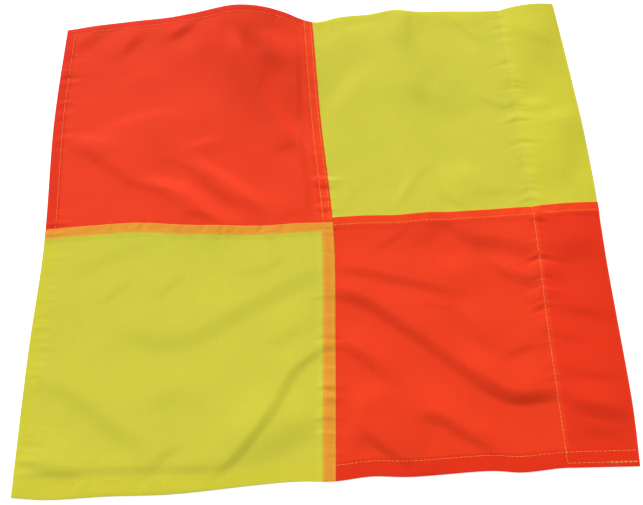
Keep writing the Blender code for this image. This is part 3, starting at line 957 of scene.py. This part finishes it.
class StitchRow:
    """A row of lockstitch seen from one side: separate stitches that dip in at each end."""

    STITCH = 3.05 * MM  # length of a stitch, with the gap after it
    GAP = 0.4 * MM
    WANDER = 0.05 * MM  # how far a stitch lies out of line

    def __init__(self, name: str, node: str, runs: tuple[Run, ...], side: Side, cloth: LaidCloth) -> None:
        """Set out one row.

        Args:
            name: The piece's name.
            node: The frame's node that it stands for.
            runs: Its straight runs on the pattern.
            side: The side of the cloth that it shows on.
            cloth: How the cloth lies.
        """
        self.name, self.node, self.runs, self.side, self.cloth = name, node, runs, side, cloth

    @staticmethod
    def grain(length: float, thread: float) -> tuple[np.ndarray, list[tuple[int, ...]]]:
        """One stitch along X: a short round thread whose ends turn down.

        Args:
            length: Its length.
            thread: The thread's diameter.

        Returns:
            Its points, and its faces as tuples of point numbers.
        """
        bpy.ops.object.select_all(action="DESELECT")
        bpy.ops.mesh.primitive_uv_sphere_add(segments=6, ring_count=6, radius=1)
        ball = bpy.context.object
        points = np.array([vert.co[:] for vert in ball.data.vertices])
        faces = [tuple(face.vertices) for face in ball.data.polygons]
        bpy.data.objects.remove(ball, do_unlink=True)
        along, around = points[:, 2].copy(), points[:, :2].copy()
        blunt = np.sign(along) * np.abs(along) ** 0.8
        ring = np.hypot(around[:, 0], around[:, 1])
        body = np.maximum(ring, 1e-9)
        fat = np.where(ring > 1e-6, (1 - np.abs(blunt) ** 3.2) ** 0.5, 0)
        x = blunt * length / 2
        y = around[:, 0] / body * fat * thread / 2
        z = around[:, 1] / body * fat * thread / 2 - 0.45 * thread * np.abs(blunt) ** 3
        return np.stack([x, y, z], axis=1), faces

    def surface(self, u: np.ndarray, v: np.ndarray, at_hoist: bool) -> np.ndarray:
        """Places on the face or the back of the laid cloth."""
        p, cloth = self.cloth.pattern, self.cloth
        cross = cloth.HOIST_CROSS if at_hoist else cloth.FLY_CROSS
        x, y = cloth.drifted(u, v, cross, at_hoist)
        bed = cloth.bed_height(u, v, at_hoist)
        on_seam = eased((u - p.seam_x + p.seam + Panel.RISE) / Panel.RISE) * (u <= p.seam_x)
        on_cross = eased((v - p.seam_y + p.seam + Panel.RISE) / Panel.RISE) * (v <= p.seam_y)
        half = p.cloth / 2 + 0.1 * p.thread
        if self.side is Side.BACK:
            folded = (u < p.left + p.hem) | (v < p.bottom + p.bottom_hem)
            folded |= (v > p.top - p.hem) | (u > p.sleeve_row - p.turn)
            return np.stack([x, y, bed - folded * p.layer - half], axis=1)
        rise = 2 * p.layer * (on_seam * (not at_hoist) + on_cross)
        if at_hoist:
            rise = rise + 2 * p.layer * eased((u - p.sleeve_row) / Panel.SLEEVE_RAMP)
            rise = rise + cloth.sleeve_loft(u, v)
        return np.stack([x, y, bed + rise + half], axis=1)

    def build(self, finish: ThreadFinish) -> bpy.types.Object:
        """Lay the row's stitches and dress them.

        Args:
            finish: The thread that it is sewn with.

        Returns:
            The finished object.
        """
        thread = self.cloth.pattern.thread
        grain, faces = self.grain(self.STITCH - self.GAP, thread)
        wobble = np.random.default_rng(sum(map(ord, self.name)))
        points, polygons = [], []
        for run in self.runs:
            start, end = np.array(run.start), np.array(run.end)
            count = max(1, round(float(np.hypot(*(end - start))) / self.STITCH))
            share = (np.arange(count + 1)[:, None]) / count
            marks = start + (end - start) * share
            marks = self.surface(marks[:, 0], marks[:, 1], run.at_hoist)
            for first, last in zip(marks, marks[1:]):
                forward = (last - first) / np.linalg.norm(last - first)
                across = np.cross([0, 0, 1.0], forward)
                across /= np.linalg.norm(across)
                upward = np.cross(forward, across) * self.side.value
                middle = (first + last) / 2 + across * wobble.normal(0, self.WANDER)
                stretch = np.linalg.norm(last - first) / self.STITCH
                local = grain[:, 0:1] * forward * stretch + grain[:, 1:2] * across + grain[:, 2:3] * upward
                base = sum(len(part) for part in points)
                order = 1 if self.side is Side.FACE else -1
                polygons += [tuple(base + corner for corner in face)[::order] for face in faces]
                points.append(middle + local)
        mesh = bpy.data.meshes.new(self.name)
        mesh.from_pydata(np.concatenate(points).tolist(), [], polygons)
        row = bpy.data.objects.new(self.name, mesh)
        bpy.context.collection.objects.link(row)
        mesh.shade_smooth()
        mesh.materials.append(finish.material())
        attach(row, "root")
        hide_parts(self.node)
        return row


class Stitching:
    """All the rows that hold the flag together."""

    STOP = 1.5 * MM  # how far a row stops short of an edge
    HOIST_STOP = 1.2 * MM  # the same at the fold of the sleeve
    TACK = 18 * MM  # length of the back-tack at the sleeve's sewn end

    def __init__(self, cloth: LaidCloth) -> None:
        """Keep the laid cloth that the rows are sewn through.

        Args:
            cloth: How the cloth lies.
        """
        self.cloth = cloth

    def rows(self) -> list[StitchRow]:
        """The rows on both sides, with the frame's nodes that they stand for."""
        p = self.cloth.pattern
        stop = self.STOP
        low, high = p.bottom + stop, p.top - stop
        start, end = p.left + stop, p.right - self.HOIST_STOP
        runs: dict[str, tuple[Run, ...]] = {}
        for label, inset in (("edge", p.edge_row), ("inner", p.inner_row)):
            x = p.seam_x - inset
            runs[f"upper_seam_{label}"] = (Run((x, high), (x, p.seam_y + stop), False),)
            runs[f"lower_seam_{label}"] = (Run((x, low), (x, p.seam_y - p.seam - stop), False),)
        y = p.seam_y - p.cross_row
        runs["cross_seam"] = (Run((start, y), (p.seam_x, y), False), Run((p.seam_x, y), (end, y), True))
        hem_low, hem_high = p.bottom + p.bottom_row, p.top - p.hem_row
        runs["hem"] = (
            Run((end, hem_high), (p.seam_x, hem_high), True),
            Run((p.seam_x, hem_high), (p.hem_x, hem_high), False),
            Run((p.hem_x, hem_high), (p.hem_x, hem_low), False),
            Run((p.hem_x, hem_low), (p.seam_x, hem_low), False),
            Run((p.seam_x, hem_low), (end, hem_low), True),
        )
        end_y = p.bottom + p.end_row
        tack = end - self.TACK
        runs["sleeve"] = (
            Run((p.sleeve_row, high), (p.sleeve_row, end_y), True),
            Run((p.sleeve_row, end_y), (end, end_y), True),
            Run((end, end_y + 0.4 * MM), (tack, end_y + 0.5 * MM), True),
            Run((tack, end_y - 0.4 * MM), (end, end_y - 0.3 * MM), True),
        )
        rows = []
        for label, route in runs.items():
            for thread, side in (("needle", Side.FACE), ("bobbin", Side.BACK)):
                node = f"{label}_{thread}_thread"
                rows.append(StitchRow(f"{label}_{thread}_stitches", node, route, side, self.cloth))
        return rows


# ---------------------------------------------------------------- the studio


@dataclass(frozen=True)
class Studio:
    """A pale floor, soft light from behind on the left, and the camera over the near edge."""

    eye: tuple[float, float, float] = (4.2 * MM, -445.1 * MM, 666.6 * MM)
    target: tuple[float, float, float] = (-0.3 * MM, -29.7 * MM, 0.0)
    roll: float = -3.27  # degrees
    lens: float = 61.6  # millimetres
    sun_side: float = 106.0  # degrees from +X
    sun_rise: float = 27.0  # degrees over the floor
    sun_spread: float = 28.0  # degrees
    sun_strength: float = 4.0
    sky_strength: float = 0.45
    floor_size: float = 60.0
    floor_drop: float = 0.05 * MM  # of the floor under the frame's own
    floor_glow: float = 0.6

    def camera(self) -> None:
        """Place the camera."""
        data = bpy.data.cameras.new("camera")
        data.sensor_width = 36.0
        data.lens = self.lens
        data.clip_start, data.clip_end = 0.01, 50
        camera = bpy.data.objects.new("camera", data)
        bpy.context.scene.collection.objects.link(camera)
        look = (Vector(self.target) - Vector(self.eye)).to_track_quat("-Z", "Y").to_matrix().to_4x4()
        turn = Matrix.Rotation(math.radians(self.roll), 4, "Z")
        camera.matrix_world = Matrix.Translation(self.eye) @ look @ turn
        bpy.context.scene.camera = camera

    def sun(self) -> None:
        """Hang the soft light behind the flag, a little to its left."""
        data = bpy.data.lights.new("soft_sun", "SUN")
        data.energy = self.sun_strength
        data.angle = math.radians(self.sun_spread)
        lamp = bpy.data.objects.new("soft_sun", data)
        bpy.context.scene.collection.objects.link(lamp)
        side, rise = math.radians(self.sun_side), math.radians(self.sun_rise)
        towards = Vector((math.cos(side) * math.cos(rise), math.sin(side) * math.cos(rise), math.sin(rise)))
        lamp.rotation_euler = towards.to_track_quat("Z", "Y").to_euler()

    def floor(self) -> None:
        """Lay the floor."""
        bpy.ops.object.select_all(action="DESELECT")
        bpy.ops.mesh.primitive_plane_add(size=self.floor_size, location=(0, 0, -self.floor_drop))
        floor = bpy.context.object
        floor.name = "floor"
        material = bpy.data.materials.new("floor")
        material.use_nodes = True
        shader = material.node_tree.nodes["Principled BSDF"]
        shader.inputs["Base Color"].default_value = (1.0, 1.0, 1.0, 1)
        shader.inputs["Emission Color"].default_value = (1.0, 1.0, 1.0, 1)
        shader.inputs["Roughness"].default_value = 0.9
        shader.inputs["Specular IOR Level"].default_value = 0.1
        # The glow pales the shadow that the camera sees, and lights nothing.
        nodes, links = material.node_tree.nodes, material.node_tree.links
        seen = nodes.new("ShaderNodeLightPath")
        glow = nodes.new("ShaderNodeMath")
        glow.operation = "MULTIPLY"
        glow.inputs[1].default_value = self.floor_glow
        links.new(seen.outputs["Is Camera Ray"], glow.inputs[0])
        links.new(glow.outputs[0], shader.inputs["Emission Strength"])
        floor.data.materials.append(material)

    def build(self) -> None:
        """Set up the whole studio."""
        world = bpy.data.worlds.new("studio")
        bpy.context.scene.world = world
        world.use_nodes = True
        world.node_tree.nodes["Background"].inputs["Color"].default_value = (1, 1, 1, 1)
        world.node_tree.nodes["Background"].inputs["Strength"].default_value = self.sky_strength
        bpy.context.scene.view_settings.view_transform = "Standard"
        self.floor()
        self.sun()
        self.camera()


# ---------------------------------------------------------------- the whole flag


ORANGE = ClothFinish(
    "orange_nylon", "orange_cloth", (0.835, 0.0465, 0.0115), (0.77, 0.032, 0.008), (0.87, 0.053, 0.0105)
)
YELLOW = ClothFinish(
    "yellow_nylon", "yellow_cloth", (0.62, 0.585, 0.050), (0.635, 0.59, 0.042), (0.77, 0.31, 0.030)
)


def main() -> None:
    """Build the flag on its frame, and set the studio round it."""
    logging.basicConfig(level=logging.INFO, format="%(name)s: %(message)s")
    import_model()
    pattern = Pattern.from_frame()
    LOG.info("pattern %s", pattern)
    Studio().build()
    cloth = LaidCloth(pattern)
    quarters = (
        ("upper_fly_quarter", "upper_fly_panel", False, True, ORANGE),
        ("upper_hoist_quarter", "upper_hoist_panel", True, True, YELLOW),
        ("lower_fly_quarter", "lower_fly_panel", False, False, YELLOW),
        ("lower_hoist_quarter", "lower_hoist_panel", True, False, ORANGE),
    )
    for name, node, at_hoist, upper, finish in quarters:
        panel = Panel(name, node, cloth, at_hoist, upper).build(finish)
        LOG.info("%s: %d faces", panel.name, len(panel.data.polygons))
    for row in Stitching(cloth).rows():
        stitches = row.build(ThreadFinish())
        LOG.info("%s: %d faces", stitches.name, len(stitches.data.polygons))


if __name__ == "__main__":
    main()
